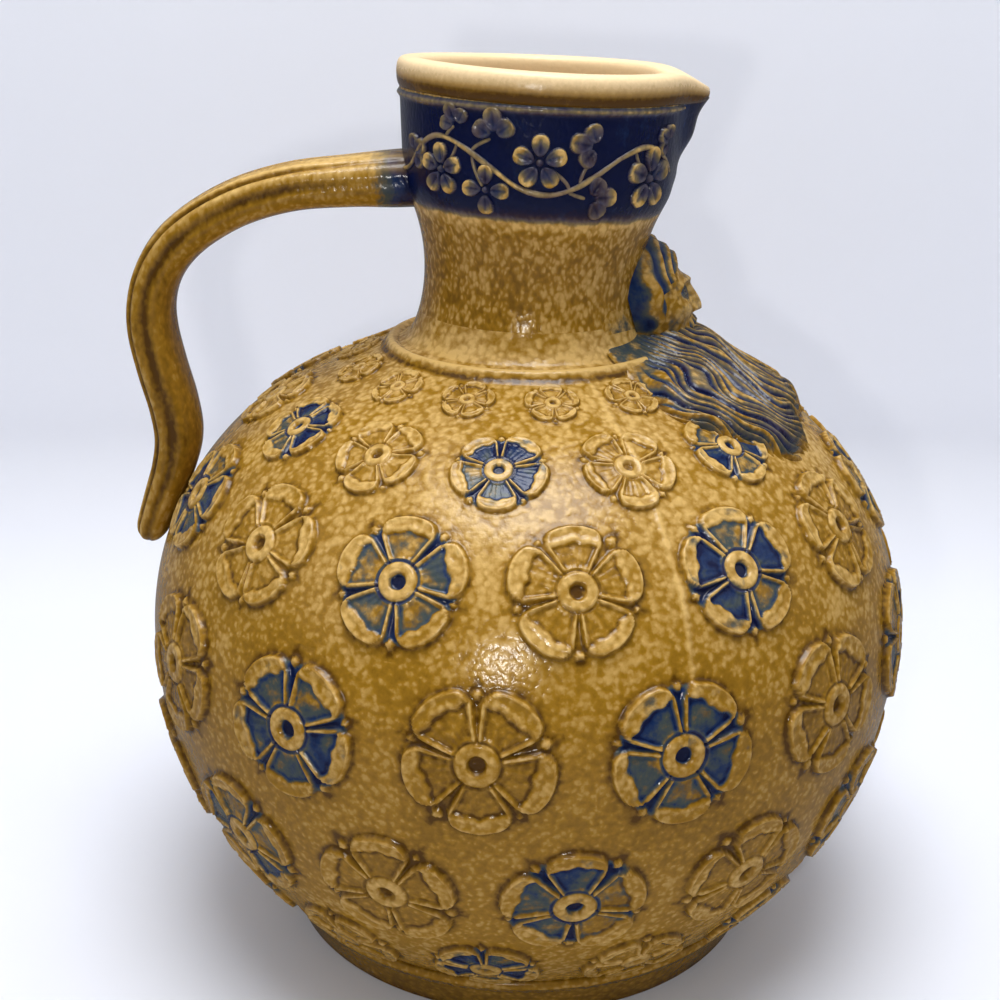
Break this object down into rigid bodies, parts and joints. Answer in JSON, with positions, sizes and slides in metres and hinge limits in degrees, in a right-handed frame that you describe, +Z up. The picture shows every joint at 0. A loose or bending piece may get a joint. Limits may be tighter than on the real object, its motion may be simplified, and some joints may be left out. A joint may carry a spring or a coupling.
{
  "type": "bartmann jug",
  "caption": "Round-bellied salt-glazed stoneware jug with a short necked mouth, pinched spout, loop handle, bearded mask, vine frieze and rows of applied roses; holds and pours drink.",
  "frame": {"origin": "middle of the flat underside, on the table", "axes": "+Z up along the belly's axis, +X towards the spout and the mask, the handle lies towards -X"},
  "size_m": [0.2085, 0.204, 0.2306],
  "materials": {
    "brown_glaze": "mottled glossy salt glaze",
    "buff_rim": "thin pale glossy salt glaze",
    "mask_wash": "blue-grey wash under salt glaze",
    "cobalt_frieze": "cobalt wash under salt glaze",
    "plain_roses": "thin pale glossy salt glaze",
    "cobalt_roses": "cobalt wash under salt glaze"
  },
  "bodies": {
    "root": {"belly": "brown_glaze", "foot_ring": "brown_glaze", "neck": "brown_glaze", "neck_collar": "brown_glaze", "rim": "buff_rim", "spout": "buff_rim", "handle": "brown_glaze", "mask_face": "mask_wash", "mask_beard": "mask_wash", "frieze_stem": "cobalt_frieze", "frieze_flowers": "cobalt_frieze", "frieze_leaves": "cobalt_frieze", "roses_row_1": "plain_roses", "roses_row_2_plain": "plain_roses", "roses_row_2_blue": "cobalt_roses", "roses_row_3_plain": "plain_roses", "roses_row_3_blue": "cobalt_roses", "roses_row_4_plain": "plain_roses", "roses_row_4_blue": "cobalt_roses", "roses_row_5_plain": "plain_roses", "roses_row_5_blue": "cobalt_roses", "roses_row_6_plain": "plain_roses", "roses_row_6_blue": "cobalt_roses"}
  },
  "joints": []
}
